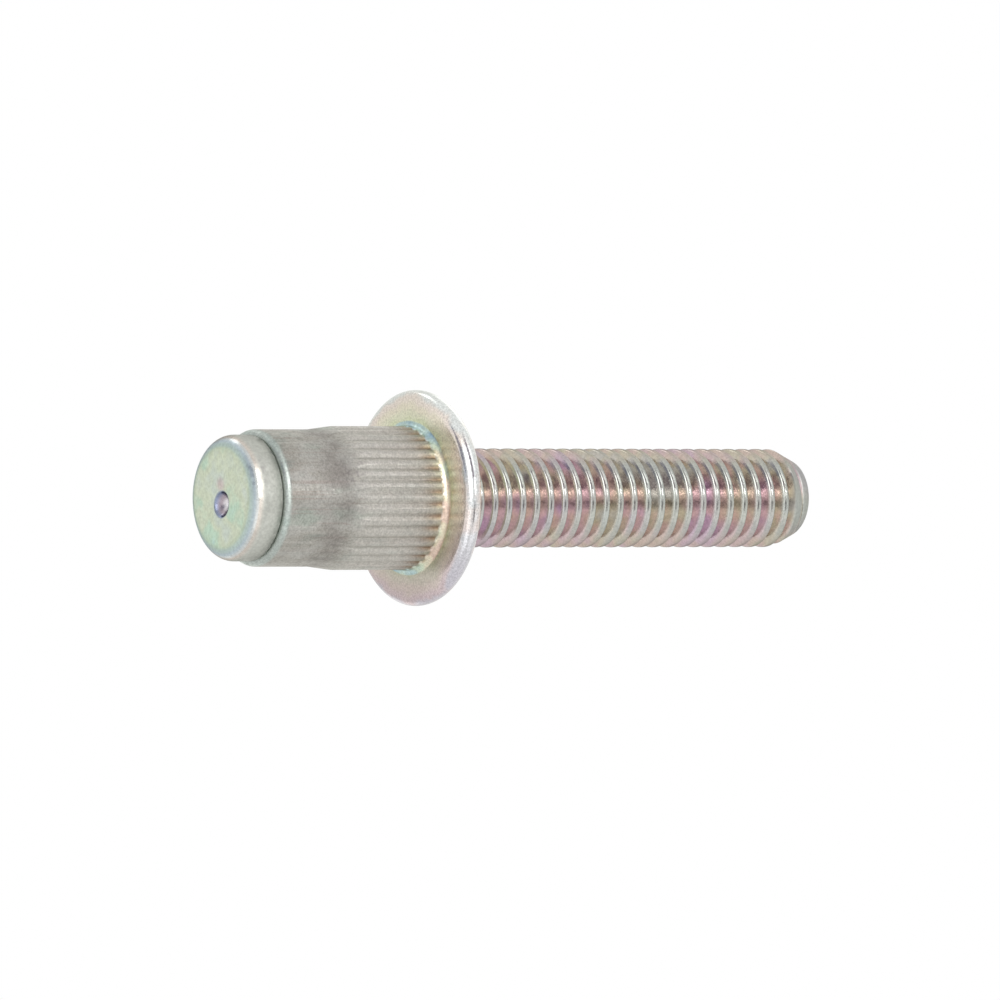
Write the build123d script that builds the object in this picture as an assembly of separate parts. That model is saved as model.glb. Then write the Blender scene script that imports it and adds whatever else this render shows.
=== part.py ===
from build123d import *
from math import radians, tan
import os

# Threaded rivet stud for an M6 coarse nut, as delivered, before it is set.
# It stands on its blind head, so +Z runs from the head to the threaded tip.
# The origin is the centre of the flange's seat, the face that bears on the panel.
# Sizes are in millimetres; names ending in _r are radii, names ending in _z are heights.

# Threaded length, as its envelope over the crests
thread_r = 2.95
thread_len = 26.3
tip_r = 2.17
tip_chamfer_len = 1.7
tip_round = 0.5

# Neck at the thread's root, where the thread runs out before the plain shank. It ends just past the flange
neck_len = 0.8
neck_depth = 0.55
neck_past_flange = 0.1

# Flange of the sleeve
flange_r = 6.4
flange_t = 1.3
flange_front_bevel = 0.35
flange_edge_land = 0.05
flange_root_bevel = 0.35

# Body of the sleeve: a plain length at the blind end, then a knurled length up to the flange
barrel_wall = 1.05
plain_len = 4.15
knurl_len = 7.05
knurl_ramp_len = 1.55
knurl_rise = 0.2
sleeve_end_land = 0.5

# Bore of the sleeve: close on the shank, wider in the plain length that folds when the rivet is set
bore_clearance = 0.05
bore_mouth_chamfer = 0.2
folding_bore_step = 0.15
folding_bore_past_plain = 0.65
folding_bore_cone_len = 0.4

# Grooves between the ribs
rib_count = 36
groove_floor_rise = 0.02
groove_half_angle = 40.0
groove_run_out_rise = 0.5

# Blind head of the stud, a little smaller than the sleeve so that it passes the same hole
head_step = 0.32
head_t = 2.0
head_round = 0.9
dimple_r = 1.15
dimple_depth = 0.5
dimple_floor_r = 0.3

# How far a cutting shape reaches past what it cuts
overcut = 0.5

tip_z = flange_t + thread_len
bore_r = thread_r + bore_clearance
folding_bore_r = bore_r + folding_bore_step
plain_r = bore_r + barrel_wall
knurl_r = plain_r + knurl_rise
knurl_start_z = -knurl_len
sleeve_end_z = knurl_start_z - plain_len
flange_back_round = flange_t - flange_front_bevel - flange_edge_land
sleeve_end_round = plain_r - folding_bore_r - sleeve_end_land
folding_bore_end_z = knurl_start_z + folding_bore_past_plain
groove_floor_r = plain_r + groove_floor_rise
head_r = plain_r - head_step
head_seat_z = sleeve_end_z
head_face_z = head_seat_z - head_t
head_shank_chamfer = (folding_bore_r - thread_r) / 2
thread_start_z = flange_t + neck_past_flange
neck_r = thread_r - neck_depth
neck_start_z = thread_start_z - neck_len


def turned(points):
    """Turns a closed (radius, height) outline about Z."""
    outline = Polyline(*[(r, 0, z) for r, z in points], close=True)
    return revolve(Face(Wire(outline.edges())), Axis.Z, 360)


def circle_edge(part, radius, height):
    """Finds the one circular edge of a turned part at a radius and a height."""
    rings = part.edges().filter_by(GeomType.CIRCLE)
    return rings.filter_by(lambda e: abs(e.radius - radius) < 1e-4 and abs(e.arc_center.Z - height) < 1e-4)


def sleeve_blank():
    """The turned sleeve: plain folding length, ramp up to the knurl, flange, stepped bore."""
    body = turned([
        (0, sleeve_end_z),
        (plain_r, sleeve_end_z),
        (plain_r, knurl_start_z),
        (knurl_r, knurl_start_z + knurl_ramp_len),
        (knurl_r, 0),
        (flange_r, 0),
        (flange_r, flange_t),
        (0, flange_t),
    ])
    body = fillet(circle_edge(body, plain_r, sleeve_end_z), sleeve_end_round)
    body = chamfer(circle_edge(body, knurl_r, 0), flange_root_bevel)
    body = chamfer(circle_edge(body, flange_r, 0), flange_front_bevel)
    body = fillet(circle_edge(body, flange_r, flange_t), flange_back_round)
    bore = turned([
        (0, sleeve_end_z - overcut),
        (folding_bore_r, sleeve_end_z - overcut),
        (folding_bore_r, folding_bore_end_z - folding_bore_cone_len),
        (bore_r, folding_bore_end_z),
        (bore_r, flange_t - bore_mouth_chamfer),
        (bore_r + bore_mouth_chamfer + overcut, flange_t + overcut),
        (0, flange_t + overcut),
    ])
    return body - bore


def groove_section(floor_r, z):
    """One V of the knurl, point inward, as a closed wire at a height."""
    outer_r = knurl_r + overcut
    half = (outer_r - floor_r) * tan(radians(groove_half_angle))
    return Wire(Polyline((floor_r, 0, z), (outer_r, -half, z), (outer_r, half, z), close=True).edges())


def knurl_groove():
    """One axial groove. It runs out on the ramp by itself and rises out in the bevel under the flange."""
    below_ramp = groove_section(groove_floor_r, knurl_start_z - overcut)
    full = groove_section(groove_floor_r, -flange_root_bevel)
    risen = groove_section(groove_floor_r + groove_run_out_rise, 0)
    return [Solid.make_loft([below_ramp, full], ruled=True), Solid.make_loft([full, risen], ruled=True)]


def make_sleeve():
    """The flanged, knurled sleeve in one piece. A rib, not a groove, lies on each of +X, +Y, -X and -Y."""
    grooves = []
    for i in range(rib_count):
        turn = Rot(0, 0, 360 * (i + 0.5) / rib_count)
        grooves += [turn * piece for piece in knurl_groove()]
    return sleeve_blank() - grooves


def make_stud():
    """The headed stud in one piece: blind head with its centre mark, shank, neck, threaded length and point."""
    body = turned([
        (0, head_face_z),
        (head_r, head_face_z),
        (head_r, head_seat_z),
        (thread_r, head_seat_z),
        (thread_r, neck_start_z),
        (neck_r, neck_start_z),
        (neck_r, thread_start_z),
        (thread_r, thread_start_z),
        (thread_r, tip_z - tip_chamfer_len),
        (tip_r, tip_z),
        (0, tip_z),
    ])
    body = chamfer(circle_edge(body, thread_r, head_seat_z), head_shank_chamfer)
    body = fillet(circle_edge(body, head_r, head_face_z), head_round)
    body = fillet(circle_edge(body, tip_r, tip_z), tip_round)
    cone_slope = (dimple_r - dimple_floor_r) / dimple_depth
    dimple = turned([
        (0, head_face_z - overcut),
        (dimple_r + cone_slope * overcut, head_face_z - overcut),
        (dimple_floor_r, head_face_z + dimple_depth),
        (0, head_face_z + dimple_depth),
    ])
    return body - dimple


os.makedirs("parts", exist_ok=True)
export_step(make_sleeve(), "parts/sleeve.step")
export_step(make_stud(), "parts/stud.step")
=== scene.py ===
"""Dresses the threaded rivet stud: a knurled sleeve on a headed stud, zinc plated, before it is set."""

import logging
import math
from dataclasses import dataclass
from enum import Enum
from typing import Sequence, Union

import bmesh
import bpy
from mathutils import Matrix, Vector

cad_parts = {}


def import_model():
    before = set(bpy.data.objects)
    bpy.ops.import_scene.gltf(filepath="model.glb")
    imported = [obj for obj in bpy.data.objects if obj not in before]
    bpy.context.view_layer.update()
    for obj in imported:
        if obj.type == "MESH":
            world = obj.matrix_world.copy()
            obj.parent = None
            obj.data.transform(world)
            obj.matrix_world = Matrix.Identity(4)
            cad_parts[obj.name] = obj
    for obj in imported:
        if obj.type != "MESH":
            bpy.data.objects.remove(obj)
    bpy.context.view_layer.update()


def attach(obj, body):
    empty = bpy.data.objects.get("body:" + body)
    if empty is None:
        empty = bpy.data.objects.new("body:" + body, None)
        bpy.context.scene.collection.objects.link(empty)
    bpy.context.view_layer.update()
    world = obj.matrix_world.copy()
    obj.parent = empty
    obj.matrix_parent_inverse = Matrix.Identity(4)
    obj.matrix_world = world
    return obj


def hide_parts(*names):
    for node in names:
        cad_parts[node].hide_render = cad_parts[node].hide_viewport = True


MM = 0.001
Point = tuple[float, float]
Triple = tuple[float, float, float]
Colour = Triple
Stops = Sequence[tuple[float, Colour]]
Face = tuple[int, ...]
Mesh, Object, Material = bpy.types.Mesh, bpy.types.Object, bpy.types.Material
Socket = bpy.types.NodeSocket
Value = Union[float, Triple, Socket]
Inputs = dict[Union[str, int], Value]
log = logging.getLogger("rivet_stud")


class Body(Enum):
    """The bodies that pieces ride on."""

    ROOT = "root"


class Slot(Enum):
    """Names for material slots, which no piece in this script is given."""

    SLEEVE = "sleeve_zinc"
    STUD = "stud_zinc"


@dataclass(frozen=True)
class Span:
    """A stretch of values and what it is mapped to, held at its ends.

    Attributes:
        start: Value at its start.
        end: Value at its end, which may be below the start.
        low: Result at its start.
        high: Result at its end.
        smooth: Whether the result eases in and out.
    """

    start: float
    end: float
    low: float = 0.0
    high: float = 1.0
    smooth: bool = True

    def kind(self) -> str:
        """The interpolation that its node uses."""
        return "SMOOTHSTEP" if self.smooth else "LINEAR"


@dataclass(frozen=True)
class Noise:
    """A noise pattern.

    Attributes:
        size: Size of its spots in millimetres.
        stretch: How much longer a spot is along the axis than across it.
        detail: How many finer layers it has.
        offset: How far it is moved, so that no two patterns line up.
        course: Direction of that move.
    """

    size: float
    stretch: float = 1.0
    detail: float = 3.0
    offset: float = 0.0
    course: Triple = (1.0, 0.7, 1.3)


def arc(centre: Point, radius: float, start: float, end: float, steps: int) -> list[Point]:
    """Points along an arc of a turned outline.

    Args:
        centre: Radius and height of the arc's centre, in millimetres.
        radius: The arc's radius, in millimetres.
        start: Angle of the first point in degrees, 0 outwards and 90 up.
        end: Angle of the last point in degrees.
        steps: Number of runs between the points.

    Returns:
        The points as radius and height.
    """
    turns = [math.radians(start + (end - start) * i / steps) for i in range(steps + 1)]
    return [(centre[0] + radius * math.cos(a), centre[1] + radius * math.sin(a)) for a in turns]


def run(a: Point, b: Point, steps: int) -> list[Point]:
    """Points that part a straight line of an outline into steps, without its ends."""
    return [(a[0] + (b[0] - a[0]) * i / steps, a[1] + (b[1] - a[1]) * i / steps) for i in range(1, steps)]


def polar(radius: float, angle: float, height: float) -> Triple:
    """A point by its radius, its angle in radians and its height."""
    return radius * math.cos(angle), radius * math.sin(angle), height


def grid(rows: int, columns: int, first: int = 0, ring: bool = False, loop: bool = False) -> list[Face]:
    """Faces between points that stand in rows.

    Args:
        rows: Number of rows.
        columns: Points in a row.
        first: Number of the first point.
        ring: Whether each row's end joins its start.
        loop: Whether the last row joins the first.

    Returns:
        The faces.
    """
    faces = []
    for i in range(rows if loop else rows - 1):
        row, after = first + i * columns, first + (i + 1) % rows * columns
        for j in range(columns if ring else columns - 1):
            beside = (j + 1) % columns
            faces.append((row + j, row + beside, after + beside, after + j))
    return faces


def linked(name: str, data: bpy.types.ID) -> Object:
    """Links a mesh, light or camera to the scene.

    Args:
        name: The new object's name.
        data: What it shows.

    Returns:
        The object, at the origin.
    """
    obj = bpy.data.objects.new(name, data)
    bpy.context.scene.collection.objects.link(obj)
    return obj


def mesh_from(name: str, points: Sequence[Triple], faces: Sequence[Face]) -> Mesh:
    """Makes a mesh.

    Args:
        name: The mesh's name.
        points: Its points, in millimetres.
        faces: Its faces, as numbers of points.

    Returns:
        The mesh.
    """
    mesh = bpy.data.meshes.new(name)
    mesh.from_pydata([tuple(c * MM for c in p) for p in points], [], faces)
    mesh.update()
    return mesh


def closed(mesh: Mesh, merge: float, sharp_angle: float) -> None:
    """Merges doubles, points the faces outwards and shades smooth up to an angle.

    Args:
        mesh: The mesh to finish.
        merge: Merge distance in metres.
        sharp_angle: Angle in degrees above which an edge stays sharp.
    """
    bm = bmesh.new()
    bm.from_mesh(mesh)
    bmesh.ops.remove_doubles(bm, verts=bm.verts, dist=merge)
    bmesh.ops.dissolve_degenerate(bm, edges=bm.edges, dist=merge / 2)
    bmesh.ops.recalc_face_normals(bm, faces=bm.faces)
    for face in bm.faces:
        face.smooth = True
    bm.to_mesh(mesh)
    bm.free()
    mesh.set_sharp_from_angle(angle=math.radians(sharp_angle))


def cleared(owner: Union[Material, bpy.types.World]) -> bpy.types.NodeTree:
    """Gives a material or the world an empty node tree.

    Args:
        owner: The material or the world.

    Returns:
        Its tree.
    """
    owner.use_nodes = True
    owner.node_tree.nodes.clear()
    return owner.node_tree


class Tree:
    """A node tree that is being built."""

    def __init__(self, tree: bpy.types.NodeTree) -> None:
        """Keeps the tree that nodes are added to."""
        self.tree = tree

    def feed(self, socket: Socket, value: Value) -> None:
        """Links an output to an input, or sets the input's value.

        Args:
            socket: The input.
            value: The output, or the value. A colour is given without its alpha.
        """
        if isinstance(value, Socket):
            self.tree.links.new(value, socket)
        elif socket.type == "RGBA":
            socket.default_value = (*value, 1.0)
        else:
            socket.default_value = value

    def node(self, kind: str, inputs: Inputs, **settings: object) -> bpy.types.Node:
        """Adds a node.

        Args:
            kind: The node's type.
            inputs: What its inputs get, by name or by number.
            settings: Its properties.

        Returns:
            The node.
        """
        made = self.tree.nodes.new(kind)
        for key, value in settings.items():
            setattr(made, key, value)
        for key, value in inputs.items():
            self.feed(made.inputs[key], value)
        return made

    def add(self, kind: str, inputs: Inputs, **settings: object) -> Socket:
        """Adds a node and gives its first output."""
        return self.node(kind, inputs, **settings).outputs[0]

    def math(self, operation: str, *values: Value, clamp: bool = False) -> Socket:
        """Adds a Math node and gives its result."""
        return self.add("ShaderNodeMath", dict(enumerate(values)), operation=operation, use_clamp=clamp)

    def plus(self, a: Value, b: Value) -> Socket:
        """The sum of two numbers."""
        return self.math("ADD", a, b)

    def minus(self, a: Value, b: Value) -> Socket:
        """The first number less the second."""
        return self.math("SUBTRACT", a, b)

    def times(self, a: Value, b: Value) -> Socket:
        """The product of two numbers."""
        return self.math("MULTIPLY", a, b)

    def distance(self, x: Value, y: Value) -> Socket:
        """How far a point is from the origin."""
        return self.math("SQRT", self.plus(self.times(x, x), self.times(y, y)))

    def pick(self, share: Value, yes: Value, no: Value) -> Socket:
        """Goes from one number to another as a share goes from 0 to 1."""
        return self.plus(self.times(share, yes), self.times(self.minus(1.0, share), no))

    def mapped(self, value: Value, span: Span) -> Socket:
        """Maps a number over a span."""
        numbers = {0: value, 1: span.start, 2: span.end, 3: span.low, 4: span.high}
        return self.add("ShaderNodeMapRange", numbers, interpolation_type=span.kind())

    def split(self, vector: Value) -> Sequence[Socket]:
        """The X, Y and Z of a vector."""
        return self.node("ShaderNodeSeparateXYZ", {0: vector}).outputs


class CopyTree(Tree):
    """Geometry Nodes that copy a mesh, weld the copies and paint them."""

    def __init__(self, name: str, numbers: Sequence[str], count: str) -> None:
        """Makes the tree with its named inputs.

        Args:
            name: The tree's name.
            numbers: Names of the inputs that are its own.
            count: Name of the input that says how many copies there are.
        """
        super().__init__(bpy.data.node_groups.new(name, "GeometryNodeTree"))
        kinds = {"Geometry": "Geometry", **{number: "Float" for number in numbers}, count: "Int"}
        kinds |= {"Merge distance": "Float", "Finish": "Material"}
        for label, kind in kinds.items():
            self.tree.interface.new_socket(label, in_out="INPUT", socket_type=f"NodeSocket{kind}")
        self.tree.interface.new_socket("Geometry", in_out="OUTPUT", socket_type="NodeSocketGeometry")
        self.inlet = self.node("NodeGroupInput", {}).outputs

    def copies(self, line: Inputs, turn: Value = (0.0, 0.0, 0.0)) -> Socket:
        """Puts a copy of the incoming mesh at each point of a line.

        Args:
            line: What the line's inputs get.
            turn: How each copy is turned.

        Returns:
            The copies, made real.
        """
        points = self.add("GeometryNodeMeshLine", line, mode="OFFSET")
        placing = {"Points": points, "Instance": self.inlet["Geometry"], "Rotation": turn}
        placed = self.add("GeometryNodeInstanceOnPoints", placing)
        return self.add("GeometryNodeRealizeInstances", {0: placed})

    def finish(self, mesh: Socket) -> None:
        """Welds and paints the mesh and sends it out.

        Args:
            mesh: The mesh.
        """
        welding = {"Geometry": mesh, "Distance": self.inlet["Merge distance"]}
        welded = self.add("GeometryNodeMergeByDistance", welding)
        painted = self.add("GeometryNodeSetMaterial", {"Geometry": welded, "Material": self.inlet["Finish"]})
        self.node("NodeGroupOutput", {0: painted})

    def apply(self, obj: Object, values: dict[str, object]) -> Mesh:
        """Runs the tree on an object and keeps the result as its plain mesh.

        Args:
            obj: The object that gives the tree its geometry.
            values: The tree's inputs by name.

        Returns:
            The resulting mesh.
        """
        modifier = obj.modifiers.new(self.tree.name, "NODES")
        modifier.node_group = self.tree
        for item in self.tree.interface.items_tree:
            if item.in_out == "INPUT" and item.name in values:
                modifier[item.identifier] = values[item.name]
        graph = bpy.context.evaluated_depsgraph_get()
        mesh = bpy.data.meshes.new_from_object(obj.evaluated_get(graph), depsgraph=graph)
        obj.modifiers.clear()
        obj.data = mesh
        return mesh


class ThreadTree(CopyTree):
    """Geometry Nodes: stacks one turn of thread along the stud and trims it to the point."""

    def __init__(self, radii: Sequence[Point], heights: Sequence[Point]) -> None:
        """Builds the tree.

        Args:
            radii: The point's outline radius against the way along it, both from 0 to 1.
            heights: The point's outline height against the way along it, both from 0 to 1.
        """
        numbers = ("Pitch", "Start height", "Ring radius", "Ring height", "Crest radius", "Cone height",
                   "Thread depth", "Tip height", "Pole height")
        super().__init__("Rolled thread", numbers, "Turns")
        inlet = self.inlet
        thread = self.copies({
            "Count": inlet["Turns"],
            "Start Location": self.add("ShaderNodeCombineXYZ", {"Z": inlet["Start height"]}),
            "Offset": self.add("ShaderNodeCombineXYZ", {"Z": inlet["Pitch"]}),
        })
        x, y, z = self.split(self.add("GeometryNodeInputPosition", {}))
        radius = self.distance(x, y)
        cone = inlet["Cone height"]
        way = self.math("DIVIDE", self.minus(z, cone), self.minus(inlet["Pole height"], cone), clamp=True)
        limit = self.times(self.lookup(way, radii), inlet["Crest radius"])
        rise = self.times(self.lookup(way, heights), self.minus(inlet["Tip height"], cone))
        height = self.plus(self.math("MINIMUM", z, cone), rise)
        trimmed = self.math("MINIMUM", radius, limit)
        below = self.math("LESS_THAN", z, inlet["Ring height"])
        share = self.math("DIVIDE", self.pick(below, inlet["Ring radius"], trimmed), radius)
        place = self.add("ShaderNodeCombineXYZ", {
            "X": self.times(x, share),
            "Y": self.times(y, share),
            "Z": self.pick(below, inlet["Ring height"], height),
        })
        hollow = self.math("DIVIDE", self.minus(limit, trimmed), inlet["Thread depth"], clamp=True)
        note = {"Geometry": thread, "Name": "hollow", "Value": hollow}
        noted = self.add("GeometryNodeStoreNamedAttribute", note, data_type="FLOAT", domain="POINT")
        self.finish(self.add("GeometryNodeSetPosition", {"Geometry": noted, "Position": place}))

    def lookup(self, value: Value, points: Sequence[Point]) -> Socket:
        """Adds a Float Curve that follows straight runs.

        Args:
            value: What is looked up.
            points: Ends of the runs, each number from 0 to 1.

        Returns:
            What the curve gives.
        """
        made = self.node("ShaderNodeFloatCurve", {"Value": value})
        curve = made.mapping.curves[0]
        for x, y in points[1:-1]:
            curve.points.new(x, y)
        for place, point in zip(curve.points, points):
            place.location = point
            place.handle_type = "VECTOR"
        made.mapping.update()
        return made.outputs[0]


class RibTree(CopyTree):
    """Geometry Nodes: repeats one rib's share of the sleeve round the axis."""

    def __init__(self) -> None:
        """Builds the tree."""
        super().__init__("Rib ring", (), "Count")
        count = self.inlet["Count"]
        angle = self.times(self.add("GeometryNodeInputIndex", {}), self.math("DIVIDE", math.tau, count))
        turn = self.add("FunctionNodeAxisAngleToRotation", {"Axis": (0.0, 0.0, 1.0), "Angle": angle})
        self.finish(self.copies({"Count": count, "Offset": (0.0, 0.0, 0.0)}, turn))


class Surface(Tree):
    """A material's nodes, with the surface point in millimetres in the object's own frame."""

    def __init__(self, material: Material) -> None:
        """Clears the material's tree and adds the surface point."""
        super().__init__(cleared(material))
        metres = self.node("ShaderNodeTexCoord", {}).outputs["Object"]
        scaling = {"Vector": metres, "Scale": (1 / MM,) * 3}
        self.place = self.add("ShaderNodeMapping", scaling, vector_type="POINT")
        self.x, self.y, self.z = self.split(self.place)
        self.radius = self.distance(self.x, self.y)

    def above(self, height: float, span: Span) -> Socket:
        """Maps the height above a level over a span."""
        return self.mapped(self.minus(self.z, height), span)

    def away(self, centre: Point) -> Socket:
        """Distance from the upright line through a point."""
        return self.distance(self.minus(self.x, centre[0]), self.minus(self.y, centre[1]))

    def attribute(self, name: str) -> Socket:
        """A value that the mesh holds."""
        return self.node("ShaderNodeAttribute", {}, attribute_name=name).outputs["Fac"]

    def noise(self, pattern: Noise) -> Socket:
        """Adds a noise pattern.

        Args:
            pattern: The pattern.

        Returns:
            Its value, mostly from 0.3 to 0.7.
        """
        across, along = 1 / pattern.size, 1 / (pattern.size * pattern.stretch)
        shift = tuple(pattern.offset * share for share in pattern.course)
        scaling = {"Vector": self.place, "Location": shift, "Scale": (across, across, along)}
        place = self.add("ShaderNodeMapping", scaling, vector_type="POINT")
        inputs = {"Vector": place, "Scale": 1.0, "Detail": pattern.detail}
        return self.node("ShaderNodeTexNoise", inputs, noise_dimensions="3D").outputs["Fac"]

    def ramp(self, value: Value, stops: Stops) -> Socket:
        """Adds a Color Ramp.

        Args:
            value: What picks the colour.
            stops: The ramp's colours, each with the value where it stands.

        Returns:
            The colour.
        """
        made = self.node("ShaderNodeValToRGB", {0: value})
        ramp = made.color_ramp
        ramp.interpolation = "EASE"
        while len(ramp.elements) < len(stops):
            ramp.elements.new(0.5)
        for element, (position, colour) in zip(ramp.elements, stops):
            element.position = position
            element.color = (*colour, 1.0)
        return made.outputs[0]

    def drift(self, value: Value, colours: Sequence[Colour], reach: Point) -> Socket:
        """Adds a Color Ramp whose colours stand evenly from one value to another."""
        step = (reach[1] - reach[0]) / (len(colours) - 1)
        return self.ramp(value, [(reach[0] + step * i, colour) for i, colour in enumerate(colours)])

    def blend(self, share: Value, a: Value, b: Value, kind: str = "MIX") -> Socket:
        """Blends two colours."""
        inputs = {0: share, 6: a, 7: b}
        return self.node("ShaderNodeMix", inputs, data_type="RGBA", blend_type=kind).outputs[2]


@dataclass(frozen=True)
class ZincFinish:
    """Bright zinc plate under a thin iridescent passivation.

    Attributes:
        name: Material name.
        tints: Colours that drift over the surface, from one end of the noise to the other.
        tint_reach: Values of the noise where the first and the last of them stand.
        patches: The noise that the tints follow.
        grain: The fine mottling.
        shade: How the mottling darkens.
        relief: Height of the mottling in millimetres.
        dullness: The noise that the roughness follows.
        roughness: Roughness over that noise.
        edge: Tint of the reflection at a glancing angle.
    """

    name: str
    tints: tuple[Colour, ...]
    tint_reach: Point = (0.3, 0.7)
    patches: Noise = Noise(2.4, offset=4.0)
    grain: Noise = Noise(0.16, detail=4.0)
    shade: Span = Span(0.3, 0.7, 0.84, 1.0)
    relief: float = 0.004
    dullness: Noise = Noise(0.4, offset=9.0)
    roughness: Span = Span(0.3, 0.7, 0.24, 0.4)
    edge: Colour = (0.45, 0.45, 0.44)

    def zones(self, zinc: Surface, colour: Socket) -> Socket:
        """Changes the colour by zone of the piece. Each piece's own finish says how."""
        return colour

    def gloss(self, zinc: Surface, rough: Socket) -> Socket:
        """Changes the roughness by zone of the piece. Each piece's own finish says how."""
        return rough

    def make(self) -> Material:
        """Builds the material.

        Returns:
            The material.
        """
        material = bpy.data.materials.new(self.name)
        zinc = Surface(material)
        tint = zinc.drift(zinc.noise(self.patches), self.tints, self.tint_reach)
        grain = zinc.noise(self.grain)
        shade = zinc.mapped(grain, self.shade)
        rough = zinc.mapped(zinc.noise(self.dullness), self.roughness)
        relief = {"Height": grain, "Distance": self.relief * MM, "Strength": 1.0}
        shader = zinc.add("ShaderNodeBsdfPrincipled", {
            "Base Color": zinc.blend(1.0, self.zones(zinc, tint), shade, "MULTIPLY"),
            "Metallic": 1.0,
            "Specular Tint": self.edge,
            "Roughness": self.gloss(zinc, rough),
            "Normal": zinc.add("ShaderNodeBump", relief),
        })
        zinc.node("ShaderNodeOutputMaterial", {0: shader})
        return material


@dataclass(frozen=True)
class StudFinish(ZincFinish):
    """Zinc on the stud: greenish on the blind head, pale crests and mauve to olive grooves on the thread."""

    name: str = "zinc_stud"
    tints: tuple[Colour, ...] = (
        (0.54, 0.73, 0.69), (0.58, 0.74, 0.60), (0.68, 0.735, 0.58), (0.65, 0.715, 0.63))

    # Head's edge: spans over the way out and up from where the flat face ends
    head_face_z: float = -13.2
    face_r: float = 2.83
    edge_begins: Span = Span(-0.2, 0.4)
    edge_way: Span = Span(0.0, 1.8, smooth=False)
    edge_colours: Stops = (
        (0.0, (0.52, 0.60, 0.46)), (0.2, (0.50, 0.60, 0.56)), (0.4, (0.50, 0.58, 0.61)),
        (0.55, (0.60, 0.62, 0.61)), (0.65, (0.62, 0.57, 0.51)), (0.9, (0.56, 0.57, 0.52)))
    edge_gloss: Span = Span(0.6, 1.0, 1.4, 0.6)
    side_gloss: Span = Span(1.0, 1.6, 0.0, 0.9)

    # Centre mark: spans over the distance out from the pit's rim, and a blush beside the pit
    pit_centre: Point = (0.38, 0.0)
    pit_r: float = 0.78
    pit_begins: Span = Span(0.1, -0.05)
    # The pit's colours are a painted highlight, white in its middle, and painted shade that darkens towards
    # its rim.
    pit_highlight_and_shade: Stops = (
        (0.0, (0.95, 0.95, 0.97)), (0.35, (0.80, 0.76, 0.78)),
        (0.65, (0.42, 0.36, 0.40)), (1.0, (0.22, 0.26, 0.38)))
    pit_gloss: Span = Span(-0.1, 0.1, -0.55, 0.0)
    blush_centre: Point = (-0.8, 0.1)
    blush_reach: Span = Span(0.6, 0.1, 0.0, 0.5)
    blush: Colour = (0.66, 0.46, 0.50)

    # Thread: spans over the depth below the crests, and over the distance to either side
    thread_begins: Span = Span(0.0, 1.0)
    crest: Colour = (0.43, 0.46, 0.43)
    groove_tints: tuple[Colour, ...] = (
        (0.67, 0.53, 0.62), (0.70, 0.56, 0.57), (0.70, 0.58, 0.53), (0.66, 0.61, 0.51), (0.62, 0.60, 0.56))
    groove_patches: Noise = Noise(3.2, detail=2.0, offset=31.0)
    groove_reach: Span = Span(0.34, 0.66, smooth=False)
    groove_begins: Span = Span(0.02, 0.3)
    thread_gloss: Span = Span(0.0, 0.4, 0.72, 0.66)
    # Towards the ±X sides the crests take more of the groove colour, a painted reflection, and the whole
    # thread darkens, a painted shade.
    crest_side_reflection: Span = Span(1.7, 2.8, 0.2, 0.75)
    side_shade_begins: Span = Span(1.8, 2.8)
    side_shade: Colour = (0.84, 0.82, 0.78)

    # Point: a span over the height above where it begins
    cone_z: float = 25.9
    cone_gloss: Span = Span(-0.2, 0.3, 0.0, 0.75)

    def edge_distance(self, zinc: Surface) -> Socket:
        """The way out and up from where the head's flat face ends."""
        return zinc.plus(zinc.minus(zinc.radius, self.face_r), zinc.minus(zinc.z, self.head_face_z))

    def head_colour(self, zinc: Surface, colour: Socket) -> Socket:
        """Greys the head's edge, blushes its face and paints a highlight and shade into the pit.

        Args:
            zinc: The material's nodes.
            colour: Colour of the plain face.

        Returns:
            Colour of the head.
        """
        way = self.edge_distance(zinc)
        edge = zinc.ramp(zinc.mapped(way, self.edge_way), self.edge_colours)
        head = zinc.blend(zinc.mapped(way, self.edge_begins), colour, edge)
        blush = zinc.mapped(zinc.away(self.blush_centre), self.blush_reach)
        head = zinc.blend(blush, head, self.blush)
        out = zinc.away(self.pit_centre)
        # Painted highlight in the pit's middle, painted shade towards its rim.
        pit = zinc.ramp(zinc.mapped(out, Span(0.0, self.pit_r, smooth=False)), self.pit_highlight_and_shade)
        return zinc.blend(zinc.mapped(zinc.minus(out, self.pit_r), self.pit_begins), head, pit)

    def thread_colour(self, zinc: Surface) -> Socket:
        """Colours the thread by its depth; towards the ±X sides the crests take the groove colour, a painted
        reflection, and the whole thread is darkened, a painted shade.

        Args:
            zinc: The material's nodes.

        Returns:
            Colour of the thread.
        """
        patches = zinc.mapped(zinc.noise(self.groove_patches), self.groove_reach)
        groove = zinc.drift(patches, self.groove_tints, (0.0, 1.0))
        side = zinc.math("ABSOLUTE", zinc.x)
        # Painted reflection: towards the sides the crests take the groove colour.
        crest = zinc.blend(zinc.mapped(side, self.crest_side_reflection), self.crest, groove)
        depth = zinc.mapped(zinc.attribute("hollow"), self.groove_begins)
        thread = zinc.blend(depth, crest, groove)
        # Painted shade: the thread darkens towards the ±X sides.
        return zinc.blend(zinc.mapped(side, self.side_shade_begins), thread, self.side_shade, "MULTIPLY")

    def zones(self, zinc: Surface, colour: Socket) -> Socket:
        """Colours the head and the thread."""
        head, thread = self.head_colour(zinc, colour), self.thread_colour(zinc)
        return zinc.blend(zinc.mapped(zinc.z, self.thread_begins), head, thread)

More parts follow.
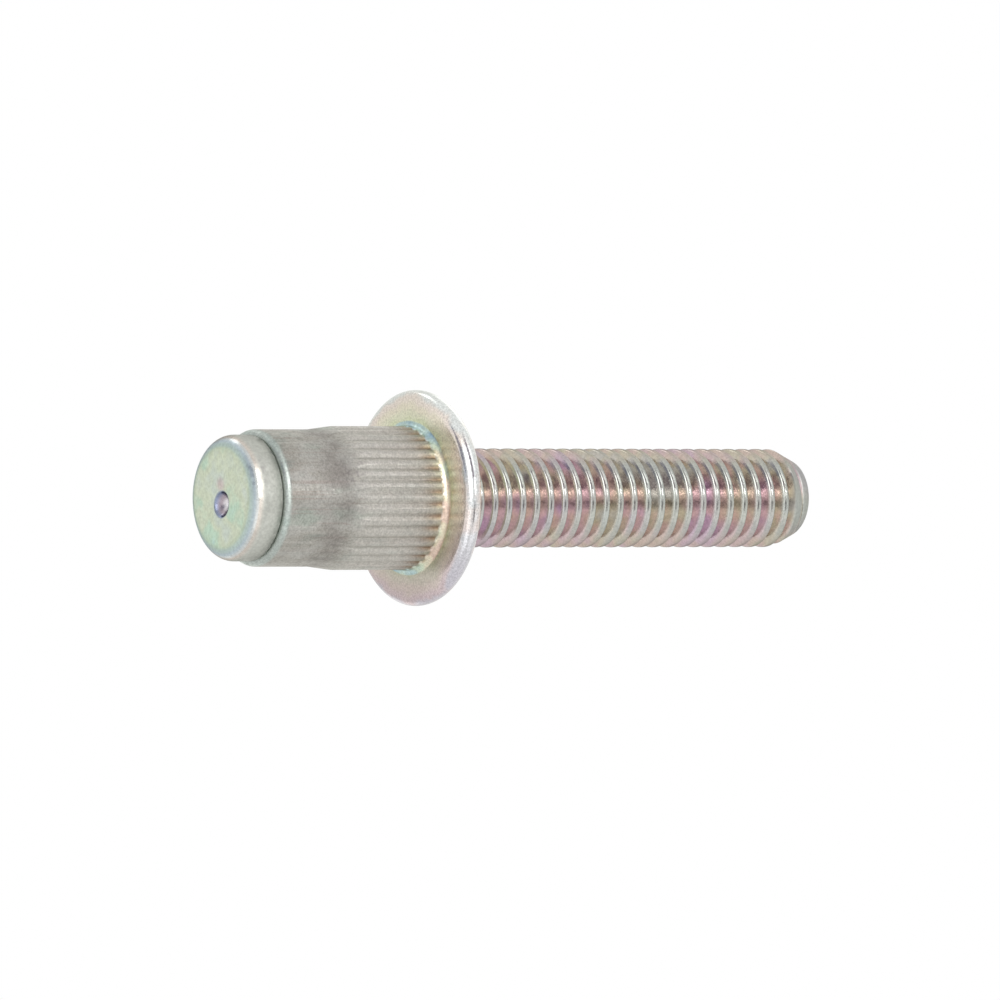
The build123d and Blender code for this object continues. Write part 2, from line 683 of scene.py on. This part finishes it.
    def gloss(self, zinc: Surface, rough: Socket) -> Socket:
        """Makes the thread and the centre mark smoother than the rest.

        Args:
            zinc: The material's nodes.
            rough: The roughness.

        Returns:
            The changed roughness.
        """
        thread = zinc.mapped(zinc.attribute("hollow"), self.thread_gloss)
        thread = zinc.plus(thread, zinc.above(self.cone_z, self.cone_gloss))
        way = self.edge_distance(zinc)
        head = zinc.plus(zinc.mapped(way, self.edge_gloss), zinc.mapped(way, self.side_gloss))
        rim = zinc.minus(zinc.away(self.pit_centre), self.pit_r)
        head = zinc.plus(head, zinc.mapped(rim, self.pit_gloss))
        on_thread = zinc.mapped(zinc.z, self.thread_begins)
        return zinc.times(rough, zinc.pick(on_thread, thread, head))


@dataclass(frozen=True)
class SleeveFinish(ZincFinish):
    """Zinc on the sleeve: grey-beige barrel with streaks along it, rosy flange with a ring at its root."""

    name: str = "zinc_sleeve"
    tints: tuple[Colour, ...] = (
        (0.34, 0.35, 0.315), (0.41, 0.395, 0.355), (0.465, 0.455, 0.42), (0.42, 0.45, 0.40))
    patches: Noise = Noise(1.6, 2.0, offset=4.0)
    grain: Noise = Noise(0.12, detail=4.0)
    shade: Span = Span(0.3, 0.7, 0.74, 1.0)
    dullness: Noise = Noise(0.3, offset=9.0)
    edge: Colour = (1.0, 1.0, 0.97)

    # Streaks along the barrel
    streaks: Noise = Noise(0.22, 60.0, 2.0, 5.0)
    pale_streaks: Span = Span(0.56, 0.7, 0.0, 0.5)
    pale: Colour = (0.56, 0.54, 0.50)
    dark_streaks: Span = Span(0.42, 0.3, 0.0, 0.35)
    dark: Colour = (0.36, 0.28, 0.25)

    # Painted shade in a band below the knurl, broken up by noise, then the knurl: spans over the height above
    # the knurl's start
    knurl_start_z: float = -7.05
    ramp_shade_begins: Span = Span(-2.4, -0.3)
    ramp_shade_ends: Span = Span(0.9, -0.1)
    ramp_shade_noise: Noise = Noise(1.1, 1.6, 4.0, 23.0)
    ramp_shade_reach: Span = Span(0.4, 0.6)
    ramp_shade_share: Span = Span(0.0, 1.0, 0.3, 0.7)
    ramp_shade: Colour = (0.27, 0.25, 0.23)
    knurl_begins: Span = Span(0.5, 1.7, 0.0, 0.55)
    knurl: Colour = (0.64, 0.615, 0.565)
    groove_way: Span = Span(0.0, 6.75, smooth=False)
    # The knurl's grooves get painted shade, turning orange-brown towards the flange.
    knurl_groove_shade: Stops = (
        (0.0, (0.34, 0.38, 0.33)), (0.35, (0.36, 0.35, 0.31)),
        (0.75, (0.36, 0.32, 0.28)), (1.0, (0.42, 0.28, 0.20)))

    # Blind end of the sleeve: spans over the height above it
    end_z: float = -11.2
    # A pale cyan ring on the end's round: film tint and a painted highlight.
    end_ring: Span = Span(0.45, 0.2, 0.0, 0.5)
    end_tint_and_highlight: Colour = (0.50, 0.60, 0.57)
    end_gloss: Span = Span(0.3, 0.55, 0.6, 1.0)

    # Next to the flange: spans over the height, and how much duller the barrel is
    # How much painted shade the knurl's grooves take, more near the flange.
    knurl_groove_shade_share: Span = Span(-2.0, -0.6, 0.25, 0.8)
    barrel_gloss: Span = Span(-1.0, -0.4, 1.0, 0.0)
    flange_begins: Span = Span(-0.4, -0.25)
    root_height: Span = Span(0.6, 0.2)
    satin: float = 1.5

    # Ring at the flange's root, a painted reflection that drifts through blue, teal, green and orange
    root_ring_r: float = 4.62
    root_fade: float = 0.1
    root_reflection_patches: Noise = Noise(2.6, detail=2.0, offset=43.0)
    root_reach: Span = Span(0.34, 0.66, smooth=False)
    root_ring_reflection: Stops = (
        (0.0, (0.30, 0.44, 0.54)), (0.3, (0.48, 0.62, 0.60)), (0.6, (0.64, 0.72, 0.56)),
        (0.85, (0.76, 0.68, 0.52)), (1.0, (0.74, 0.58, 0.48)))

    # Flange: colours from its root to its rim, and painted light and shade from side to side; spans over Y,
    # for painted shade on all but its -Y edge, and in from the rim
    flange_r: float = 6.4
    flange_patches: Noise = Noise(2.2, offset=17.0)
    patch_shift: float = 1.8
    flange_colours: Stops = (
        (0.0, (0.80, 0.85, 0.62)), (0.22, (0.87, 0.87, 0.70)), (0.5, (0.93, 0.87, 0.74)),
        (0.8, (0.91, 0.82, 0.77)), (1.0, (0.83, 0.86, 0.87)))
    flange_light_and_shade: Stops = ((0.0, (1.0, 1.0, 0.96)), (0.5, (0.92, 0.91, 0.90)), (1.0, (0.72, 0.66, 0.72)))
    far_begins: Span = Span(-4.0, -0.5)
    far_shade: Colour = (0.85, 0.85, 0.84)
    rim_gloss: Span = Span(-0.85, -0.55, 1.2, 0.7)

    def barrel_colour(self, zinc: Surface, colour: Socket) -> Socket:
        """Colours the streaks, a band of painted shade below the knurl, the blind end's pale ring of film
        tint and painted highlight, the knurl, and painted shade in its grooves.

        Args:
            zinc: The material's nodes.
            colour: Colour of the drifting tints.

        Returns:
            Colour of the barrel.
        """
        streaks = zinc.noise(self.streaks)
        colour = zinc.blend(zinc.mapped(streaks, self.pale_streaks), colour, self.pale)
        colour = zinc.blend(zinc.mapped(streaks, self.dark_streaks), colour, self.dark)
        # A band of painted shade below the knurl, broken up by noise.
        shade_spots = zinc.mapped(zinc.mapped(zinc.noise(self.ramp_shade_noise), self.ramp_shade_reach), self.ramp_shade_share)
        band = zinc.times(zinc.above(self.knurl_start_z, self.ramp_shade_begins),
                          zinc.above(self.knurl_start_z, self.ramp_shade_ends))
        colour = zinc.blend(zinc.times(band, shade_spots), colour, self.ramp_shade)
        # Pale ring at the blind end: film tint and a painted highlight.
        colour = zinc.blend(zinc.above(self.end_z, self.end_ring), colour, self.end_tint_and_highlight)
        colour = zinc.blend(zinc.above(self.knurl_start_z, self.knurl_begins), colour, self.knurl)
        # Painted shade in the knurl's grooves, strongest near the flange.
        groove = zinc.ramp(zinc.above(self.knurl_start_z, self.groove_way), self.knurl_groove_shade)
        share = zinc.times(zinc.attribute("groove"), zinc.mapped(zinc.z, self.knurl_groove_shade_share))
        return zinc.blend(share, colour, groove)

    def flange_colour(self, zinc: Surface) -> Socket:
        """Colours the flange with painted light and shade: paler and yellower towards -X, darker and mauve
        towards +X, and darker everywhere but near its -Y edge; the ring at its root is painted reflection.

        Args:
            zinc: The material's nodes.

        Returns:
            Colour of the flange.
        """
        ring_r = self.root_ring_r - self.root_fade
        shift = zinc.times(zinc.minus(zinc.noise(self.flange_patches), 0.5), self.patch_shift)
        reach = zinc.mapped(zinc.plus(zinc.radius, shift), Span(ring_r, self.flange_r, smooth=False))
        flange = zinc.ramp(reach, self.flange_colours)
        across = zinc.mapped(zinc.x, Span(-self.flange_r, self.flange_r, smooth=False))
        # Painted light and shade across X: lighter towards -X, darker towards +X.
        flange = zinc.blend(1.0, flange, zinc.ramp(across, self.flange_light_and_shade), "MULTIPLY")
        # Painted shade on all but the flange's -Y edge.
        flange = zinc.blend(zinc.mapped(zinc.y, self.far_begins), flange, self.far_shade, "MULTIPLY")
        ring = zinc.times(zinc.mapped(zinc.radius, Span(self.root_ring_r, ring_r)),
                          zinc.mapped(zinc.z, self.root_height))
        # Painted reflection on the ring at the flange's root.
        patches = zinc.mapped(zinc.noise(self.root_reflection_patches), self.root_reach)
        return zinc.blend(ring, flange, zinc.ramp(patches, self.root_ring_reflection))

    def zones(self, zinc: Surface, colour: Socket) -> Socket:
        """Colours the barrel and the flange."""
        barrel, flange = self.barrel_colour(zinc, colour), self.flange_colour(zinc)
        return zinc.blend(zinc.mapped(zinc.z, self.flange_begins), barrel, flange)

    def gloss(self, zinc: Surface, rough: Socket) -> Socket:
        """Makes the barrel satin, the flange brighter and its rim the brightest.

        Args:
            zinc: The material's nodes.
            rough: The roughness.

        Returns:
            The changed roughness.
        """
        barrel = zinc.times(zinc.mapped(zinc.z, self.barrel_gloss), zinc.above(self.end_z, self.end_gloss))
        flange = zinc.mapped(zinc.minus(zinc.radius, self.flange_r), self.rim_gloss)
        share = zinc.mapped(barrel, Span(0.0, 1.0))
        return zinc.times(rough, zinc.pick(share, self.satin, flange))


@dataclass
class Sleeve:
    """The flanged, knurled sleeve, with softer grooves than the solid's. Sizes in millimetres.

    Attributes:
        edge_run: Length of the narrow strips beside the ramp's ends, which keep its shading crisp.
        ramp_soft: How much the ramp's ends are softened.
        root_run: Length of the narrow strip below the flange's root.
        half_offsets: Places of points across half of a rib's share, from the groove's middle.
        weld: Distance within which points are merged.
    """

    flange_r: float = 6.4
    flange_t: float = 1.3
    front_round: float = 0.5
    back_round: float = 0.78
    root_round: float = 0.35
    plain_r: float = 4.05
    knurl_r: float = 4.25
    knurl_start_z: float = -7.05
    ramp_len: float = 1.55
    end_z: float = -11.2
    end_round: float = 0.4
    bore_r: float = 3.0
    mouth: float = 0.2
    folding_bore_r: float = 3.15
    folding_bore_end_z: float = -6.4
    folding_cone: float = 0.4
    ribs: int = 36
    floor_r: float = 4.13
    groove_half_angle: float = 60.0
    groove_edge: float = 0.04
    groove_floor_round: float = 0.03
    run_out_rise: float = 0.5
    edge_run: float = 0.15
    ramp_soft: float = 0.005
    root_run: float = 0.1
    half_offsets: tuple[float, ...] = (0.0, 0.12, 0.25, 0.38, 0.5, 0.6, 0.7, 0.82)
    weld: float = 0.0005
    sharp_angle: float = 40.0

    def outline(self) -> list[Point]:
        """The closed turned outline over the lands, from the bore's blind end and back to it.

        Returns:
            The points as radius and height.
        """
        plain, knurl, root, edge = self.plain_r, self.knurl_r, self.root_round, self.edge_run
        start_z, root_z = self.knurl_start_z, -root - self.root_run
        ramp_end_z = start_z + self.ramp_len
        front_r, back_r = self.flange_r - self.front_round, self.flange_r - self.back_round
        mouth_r = self.bore_r + self.mouth
        points = [(self.folding_bore_r, self.end_z)]
        points += arc((plain - self.end_round, self.end_z + self.end_round), self.end_round, -90, 0, steps=10)
        points += run((plain, self.end_z + self.end_round), (plain, start_z - edge), steps=4)
        points += [(plain, start_z - edge), (plain + self.ramp_soft, start_z)]
        points += run((plain, start_z), (knurl, ramp_end_z), steps=8)
        points += [(knurl - self.ramp_soft, ramp_end_z), (knurl, ramp_end_z + edge)]
        points += run((knurl, ramp_end_z + edge), (knurl, root_z), steps=6)
        points += [(knurl, root_z)]
        points += arc((knurl + root, -root), root, 180, 90, steps=8)
        points += run((knurl + root, 0), (front_r, 0), steps=6)
        points += arc((front_r, self.front_round), self.front_round, -90, 0, steps=10)
        points += arc((back_r, self.flange_t - self.back_round), self.back_round, 0, 90, steps=12)
        points += run((back_r, self.flange_t), (mouth_r, self.flange_t), steps=3)
        points += [(mouth_r, self.flange_t), (self.bore_r, self.flange_t - self.mouth)]
        points += [(self.bore_r, self.folding_bore_end_z)]
        points += [(self.folding_bore_r, self.folding_bore_end_z - self.folding_cone)]
        return points

    def floor(self, z: float) -> float:
        """Radius of the grooves' floor at a height."""
        rise = min(1.0, max(0.0, (z + self.root_round) / self.root_round))
        return self.floor_r + self.run_out_rise * rise

    def grooved(self, radius: float, z: float, turn: float) -> Point:
        """Lowers a point of the outline into a groove, from the ramp to the flange's root.

        Args:
            radius: The point's radius.
            z: The point's height.
            turn: Angle from the groove's middle, in radians.

        Returns:
            The radius in millimetres, and the depth as a share from 0 to 1.
        """
        rise = abs(turn) * radius / math.tan(math.radians(self.groove_half_angle))
        wall = self.floor(z) + math.hypot(rise, self.groove_floor_round) - self.groove_floor_round
        gap, edge = radius - wall, self.groove_edge
        if gap <= -edge or radius >= self.knurl_r + self.root_round:
            return radius, 0.0
        drop = gap if gap >= edge else (gap + edge) ** 2 / (4 * edge)
        return radius - drop, min(1.0, drop / (self.knurl_r - self.floor_r))

    def sector(self) -> Mesh:
        """One rib's share of the sleeve, centred on a groove.

        Returns:
            The mesh, with the groove's depth as an attribute.
        """
        half = math.pi / self.ribs
        shares = [-1.0, *(-o for o in reversed(self.half_offsets[1:])), *self.half_offsets, 1.0]
        outline = self.outline()
        points, depths = [], []
        for radius, z in outline:
            for turn in (half * share for share in shares):
                cut_radius, depth = self.grooved(radius, z, turn)
                points.append(polar(cut_radius, turn + half, z))
                depths.append(depth)
        mesh = mesh_from("sleeve_sector", points, grid(len(outline), len(shares), loop=True))
        mesh.attributes.new("groove", "FLOAT", "POINT").data.foreach_set("value", depths)
        return mesh

    def build(self, finish: ZincFinish) -> Object:
        """Builds the sleeve and sets it in place of its CAD node.

        Args:
            finish: Its finish.

        Returns:
            The sleeve.
        """
        obj = linked("sleeve_body", self.sector())
        values = {"Count": self.ribs, "Merge distance": self.weld * MM, "Finish": finish.make()}
        closed(RibTree().apply(obj, values), self.weld * MM, self.sharp_angle)
        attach(obj, Body.ROOT.value)
        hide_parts("sleeve")
        return obj


@dataclass
class Stud:
    """The headed, threaded stud. Sizes in millimetres.

    Attributes:
        crest_z: Height of one crest where it passes crest_azimuth, an angle in degrees.
        crest_round: Half of the crest's section: way from its middle, and drop.
        root_rise: Height above the root where the straight flank ends.
        root_bow: A point on the round of the root: share of the way to its middle, and rise.
        tip_run: Length of stacked thread that is laid over the round of the point and its end face.
        centre_r: Radius of the first ring round the middle of the head's face.
        fine_r: Radius within which the face has fine rings, for the centre mark.
        weld: Distance within which points of the thread are merged.
        ring_weld: The same where the neck joins it.
    """

    crest_r: float = 2.95
    root_r: float = 2.39
    pitch: float = 1.0
    crest_z: float = 3.31
    crest_azimuth: float = 270.0
    crest_round: tuple[Point, ...] = ((0.0, 0.0), (0.09, 0.003), (0.14, 0.015), (0.175, 0.037), (0.198, 0.07))
    flank_angle: float = 30.0
    root_rise: float = 0.055
    root_bow: Point = (0.4, 0.018)
    thread_start_z: float = 1.4
    neck_r: float = 2.4
    neck_len: float = 0.8
    tip_z: float = 27.6
    tip_r: float = 2.17
    tip_len: float = 1.7
    tip_round: float = 0.5
    tip_run: float = 2.05
    head_r: float = 3.73
    head_t: float = 2.0
    head_round: float = 0.9
    seat_z: float = -11.2
    seat_edge: float = 0.12
    shank_chamfer: float = 0.1
    centre_r: float = 0.02
    fine_r: float = 1.35
    dish_r: float = 1.15
    dish_depth: float = 0.1
    pit_ball_r: float = 0.9
    pit_r: float = 0.78
    pit_centre: Point = (0.38, 0.0)
    segments: int = 96
    weld: float = 0.0005
    ring_weld: float = 0.0006
    sharp_angle: float = 50.0

    def tooth(self) -> list[Point]:
        """One pitch of the thread's section, from root to root.

        Returns:
            The points as height and radius.
        """
        slope = 1 / math.tan(math.radians(self.flank_angle))
        half = [(way, self.crest_r - drop) for way, drop in self.crest_round]
        start = half[-1]
        flank_end_r = self.root_r + self.root_rise
        end = (start[0] + (start[1] - flank_end_r) / slope, flank_end_r)
        middle = self.pitch / 2
        share, rise = self.root_bow
        half += run(start, end, steps=3)
        half += [end, (end[0] + (middle - end[0]) * share, self.root_r + rise), (middle, self.root_r)]
        return [(middle - way, r) for way, r in reversed(half)] + [(middle + way, r) for way, r in half[1:]]

    def turn(self) -> Mesh:
        """One turn of the thread as a strip.

        Returns:
            The mesh, whose edges meet those of the turns before and after it.
        """
        tooth = self.tooth()
        points = []
        for j in range(self.segments + 1):
            share = j / self.segments
            points += [polar(r, math.tau * share, self.pitch * share + way) for way, r in tooth]
        return mesh_from("thread_turn", points, grid(self.segments + 1, len(tooth)))

    def point_outline(self) -> tuple[list[Point], list[Point], float]:
        """The point's outline: radius and height against the way along it.

        Returns:
            Pairs of way and radius and pairs of way and height, from 0 to 1, and the pole's height.
        """
        cone = math.atan2(self.crest_r - self.tip_r, self.tip_len)
        reach = self.tip_round * math.tan((math.pi / 2 - cone) / 2)
        centre = (self.tip_r - reach, self.tip_z - self.tip_round)
        top = arc(centre, self.tip_round, math.degrees(cone), 90.0, steps=8)
        cone_z = self.tip_z - self.tip_len
        path = [(self.crest_r, cone_z)] + top + [(0.0, self.tip_z)]
        lengths = [0.0]
        for a, b in zip(path[1:], path[2:]):
            lengths.append(lengths[-1] + math.dist(a, b))
        scale = self.tip_run / lengths[-1]
        ways = [0.0] + [top[0][1] - cone_z + length * scale for length in lengths]
        total = ways[-1]
        radii = [(way / total, r / self.crest_r) for way, (r, _) in zip(ways, path)]
        heights = [(way / total, (z - cone_z) / self.tip_len) for way, (_, z) in zip(ways, path)]
        return radii, heights, cone_z + total

    def thread(self, material: Material) -> Mesh:
        """The threaded length with its point.

        Args:
            material: Its material.

        Returns:
            The mesh, open at the ring where the neck joins it.
        """
        radii, heights, pole_z = self.point_outline()
        crest_at_x = self.crest_z - self.pitch * self.crest_azimuth / 360
        start = crest_at_x - self.pitch / 2
        while start > self.thread_start_z - self.pitch:
            start -= self.pitch
        sizes = {
            "Pitch": self.pitch,
            "Start height": start,
            "Ring radius": self.neck_r,
            "Ring height": self.thread_start_z,
            "Crest radius": self.crest_r,
            "Thread depth": self.crest_r - self.root_r,
            "Cone height": self.tip_z - self.tip_len,
            "Tip height": self.tip_z,
            "Pole height": pole_z,
            "Merge distance": self.weld,
        }
        values = {name: size * MM for name, size in sizes.items()}
        values |= {"Turns": math.ceil((pole_z - start) / self.pitch) + 1, "Finish": material}
        obj = linked("thread", self.turn())
        mesh = ThreadTree(radii, heights).apply(obj, values)
        bpy.data.objects.remove(obj)
        return mesh

    def shank_outline(self) -> list[Point]:
        """The turned outline from the middle of the head's face up to the thread.

        Returns:
            The points as radius and height.
        """
        face_z, flat_r = self.seat_z - self.head_t, self.head_r - self.head_round
        neck_z = self.thread_start_z - self.neck_len
        points = [(0.0, face_z), (self.centre_r, face_z)]
        points += run((self.centre_r, face_z), (self.fine_r, face_z), steps=32)
        points += run((self.fine_r, face_z), (flat_r, face_z), steps=6)
        points += arc((flat_r, face_z + self.head_round), self.head_round, -90, 0, steps=16)
        points += [(self.head_r, self.seat_z - self.seat_edge), (self.head_r - self.seat_edge, self.seat_z)]
        corner = self.shank_chamfer
        points += [(self.crest_r + corner, self.seat_z), (self.crest_r, self.seat_z + corner)]
        points += run((self.crest_r, self.seat_z), (self.crest_r, neck_z), steps=4)
        points += [(self.crest_r, neck_z), (self.neck_r, neck_z), (self.neck_r, self.thread_start_z)]
        return points

    def punch_depth(self, x: float, y: float) -> float:
        """How deep the centre mark is: a shallow dish with a round pit off its centre.

        Args:
            x: The place on the head's face along X.
            y: The place along Y.

        Returns:
            The depth in millimetres.
        """
        out = min(1.0, math.hypot(x, y) / self.dish_r)
        dish = self.dish_depth * (1 - out * out * (3 - 2 * out))
        far = math.hypot(x - self.pit_centre[0], y - self.pit_centre[1])
        if far >= self.pit_r:
            return dish
        rim = math.sqrt(self.pit_ball_r ** 2 - self.pit_r ** 2)
        return dish + math.sqrt(self.pit_ball_r ** 2 - far ** 2) - rim

    def shank(self) -> Mesh:
        """Head, shank and neck.

        Returns:
            The mesh, open at the ring where the thread begins.
        """
        outline = self.shank_outline()
        face_z = outline[0][1]
        points = [(0.0, 0.0, face_z + self.punch_depth(0.0, 0.0))]
        for radius, z in outline[1:]:
            for j in range(self.segments):
                x, y, _ = polar(radius, math.tau * j / self.segments, z)
                points.append((x, y, z + self.punch_depth(x, y) if z == face_z else z))
        faces = [(0, 1 + (j + 1) % self.segments, 1 + j) for j in range(self.segments)]
        faces += grid(len(outline) - 1, self.segments, first=1, ring=True)
        return mesh_from("shank", points, faces)

    def build(self, finish: ZincFinish) -> Object:
        """Builds the stud and sets it in place of its CAD node.

        Args:
            finish: Its finish.

        Returns:
            The stud.
        """
        material = finish.make()
        bm = bmesh.new()
        bm.from_mesh(self.thread(material))
        bm.from_mesh(self.shank())
        mesh = bpy.data.meshes.new("stud_body")
        bm.to_mesh(mesh)
        bm.free()
        mesh.materials.append(material)
        closed(mesh, self.ring_weld * MM, self.sharp_angle)
        obj = linked("stud_body", mesh)
        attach(obj, Body.ROOT.value)
        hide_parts("stud")
        return obj


@dataclass(frozen=True)
class Lamp:
    """A soft lamp, placed by its direction along the photo camera's right, up and back. Sizes in metres."""

    name: str
    direction: Triple
    size: Point
    radiance: float
    distance: float = 0.6

    def build(self, where: Matrix) -> None:
        """Adds the lamp.

        Args:
            where: Its place, with Z pointing away from the part.
        """
        width, height = self.size
        data = bpy.data.lights.new(self.name, "AREA")
        data.shape = "RECTANGLE"
        data.size, data.size_y = width, height
        data.energy = self.radiance * math.pi * width * height
        linked(self.name, data).matrix_world = where


@dataclass(frozen=True)
class Card:
    """A dark card, placed as a lamp is, which only reflections show. Sizes in metres."""

    name: str
    direction: Triple
    size: Point
    shade: Colour
    distance: float = 0.66

    def build(self, where: Matrix) -> None:
        """Adds the card.

        Args:
            where: Its place, with Z pointing away from the part.
        """
        w, h = (length / 2 / MM for length in self.size)
        mesh = mesh_from(self.name, [(-w, -h, 0), (w, -h, 0), (w, h, 0), (-w, h, 0)], [(0, 1, 2, 3)])
        mesh.transform(where)
        obj = linked(self.name, mesh)
        material = bpy.data.materials.new(self.name)
        tree = Tree(cleared(material))
        tree.node("ShaderNodeOutputMaterial", {0: tree.add("ShaderNodeEmission", {"Color": self.shade})})
        mesh.materials.append(material)
        obj.visible_camera = False
        obj.visible_diffuse = False
        obj.visible_shadow = False


@dataclass
class Studio:
    """Pale floor, white surround, soft lamps, dark cards and the camera at the photo's viewing angle.

    Attributes:
        view_angle: Angle in degrees between the camera's view and the part's axis.
        camera_distance: Distance to the camera in millimetres.
        along: How far the camera is moved to its right.
        across: How far it is moved down.
        focal_px: Its focal length in pixels of the photo.
        frame_px: Width of the photo in pixels.
        clip: Nearest and farthest distance that it sees, in metres.
        aim: The point that lamps and cards face, in metres.
        surround_light: Strength of the white surround as a light. It is 1 where it is seen.
    """

    view_angle: float = 56.03
    camera_distance: float = 907.0
    along: float = 5.436
    across: float = 0.118
    focal_px: float = 15311.0
    frame_px: float = 1000.0
    sensor: float = 36.0
    clip: Point = (0.05, 50.0)
    aim: Triple = (0.0, 0.0, 0.005)
    floor_z: float = -13.25
    floor_r: float = 2400.0
    floor_sides: int = 96
    floor_colour: Colour = (0.86, 0.86, 0.86)
    surround_light: float = 0.85
    lamps: tuple[Lamp, ...] = (
        Lamp("tall_softbox", (0.12, 0.42, 0.9), (0.4, 0.5), radiance=2.7),
        Lamp("front_fill", (-0.1, -0.45, 0.88), (0.5, 0.5), radiance=0.4),
        Lamp("side_lamp", (0.9, 0.21, 0.38), (0.06, 0.07), radiance=14.0),
        Lamp("upper_lamp", (0.78, 0.6, 0.13), (0.16, 0.26), radiance=1.2),
        Lamp("low_softbox", (0.85, -0.5, 0.2), (0.5, 0.36), radiance=0.25),
        Lamp("top_lamp", (-0.5, 0.76, -0.38), (0.22, 0.16), radiance=1.2),
        Lamp("rear_softbox", (0.3, 0.5, -0.8), (0.3, 0.3), radiance=0.5),
        Lamp("far_softbox", (-0.4, -0.5, -0.75), (0.3, 0.3), radiance=0.4),
    )
    cards: tuple[Card, ...] = (
        Card("left_card", (-0.74, 0.42, 0.52), (0.42, 0.32), shade=(0.26, 0.27, 0.34)),
        Card("right_card", (0.66, 0.62, 0.43), (0.27, 0.5), shade=(0.20, 0.14, 0.20)),
        Card("low_card", (0.81, -0.27, 0.52), (0.25, 0.22), shade=(0.06, 0.05, 0.06)),
    )

    def axes(self) -> tuple[Vector, Vector, Vector]:
        """The camera's right, up and back directions."""
        s, c = math.sin(math.radians(self.view_angle)), math.cos(math.radians(self.view_angle))
        return Vector((0.0, -c, s)), Vector((-1.0, 0.0, 0.0)), Vector((0.0, -s, -c))

    def facing(self, direction: Triple, distance: float) -> Matrix:
        """Where something stands that faces the part, level with the camera.

        Args:
            direction: Its direction along the camera's right, up and back.
            distance: Its distance in metres.

        Returns:
            The placing matrix, with its Z pointing away from the part.
        """
        away = sum((axis * share for axis, share in zip(self.axes(), direction)), Vector()).normalized()
        side = self.axes()[1].cross(away).normalized()
        turn = Matrix((side, away.cross(side), away)).transposed().to_4x4()
        return Matrix.Translation(Vector(self.aim) + away * distance) @ turn

    def camera(self) -> None:
        """Adds the camera and makes it the scene's."""
        right, up, back = self.axes()
        data = bpy.data.cameras.new("photo_camera")
        data.sensor_width = self.sensor
        data.lens = self.focal_px * self.sensor / self.frame_px
        data.clip_start, data.clip_end = self.clip
        spot = back * self.camera_distance + right * self.along - up * self.across
        obj = linked("photo_camera", data)
        obj.matrix_world = Matrix.Translation(spot * MM) @ Matrix((right, up, back)).transposed().to_4x4()
        bpy.context.scene.camera = obj

    def floor(self) -> None:
        """Adds a pale floor under the head. It is clear from below, where the photo is taken from."""
        sides = range(self.floor_sides)
        points = [polar(self.floor_r, math.tau * i / self.floor_sides, self.floor_z) for i in sides]
        mesh = mesh_from("floor", points, [tuple(sides)])
        material = bpy.data.materials.new("pale_floor")
        tree = Tree(cleared(material))
        path = tree.node("ShaderNodeLightPath", {}).outputs
        behind = tree.node("ShaderNodeNewGeometry", {}).outputs["Backfacing"]
        unseen = tree.math("MAXIMUM", path["Is Shadow Ray"], path["Is Glossy Ray"])
        pale = tree.add("ShaderNodeMixShader", {
            0: tree.math("MAXIMUM", behind, unseen),
            1: tree.add("ShaderNodeBsdfDiffuse", {"Color": self.floor_colour}),
            2: tree.add("ShaderNodeBsdfTransparent", {}),
        })
        tree.node("ShaderNodeOutputMaterial", {0: pale})
        mesh.materials.append(material)
        linked("floor", mesh)

    def surround(self) -> None:
        """Makes the world white to the camera and in reflections, and softer as a light."""
        world = bpy.data.worlds.new("surround")
        tree = Tree(cleared(world))
        path = tree.node("ShaderNodeLightPath", {}).outputs
        seen = tree.math("MAXIMUM", path["Is Glossy Ray"], path["Is Transmission Ray"])
        seen = tree.math("MAXIMUM", path["Is Camera Ray"], seen)
        strength = tree.mapped(seen, Span(0.0, 1.0, self.surround_light, 1.0, smooth=False))
        sky = tree.add("ShaderNodeBackground", {"Color": (1.0, 1.0, 1.0), "Strength": strength})
        tree.node("ShaderNodeOutputWorld", {0: sky})
        bpy.context.scene.world = world

    def build(self) -> None:
        """Builds the whole studio."""
        self.camera()
        self.floor()
        self.surround()
        for thing in (*self.lamps, *self.cards):
            thing.build(self.facing(thing.direction, thing.distance))
        bpy.context.scene.view_settings.view_transform = "Standard"


def main() -> None:
    """Builds the dressed part and its studio."""
    logging.basicConfig(level=logging.INFO, format="%(message)s")
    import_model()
    for piece in (Sleeve().build(SleeveFinish()), Stud().build(StudFinish())):
        log.info("%s: %d faces", piece.name, len(piece.data.polygons))
    Studio().build()


if __name__ == "__main__":
    main()
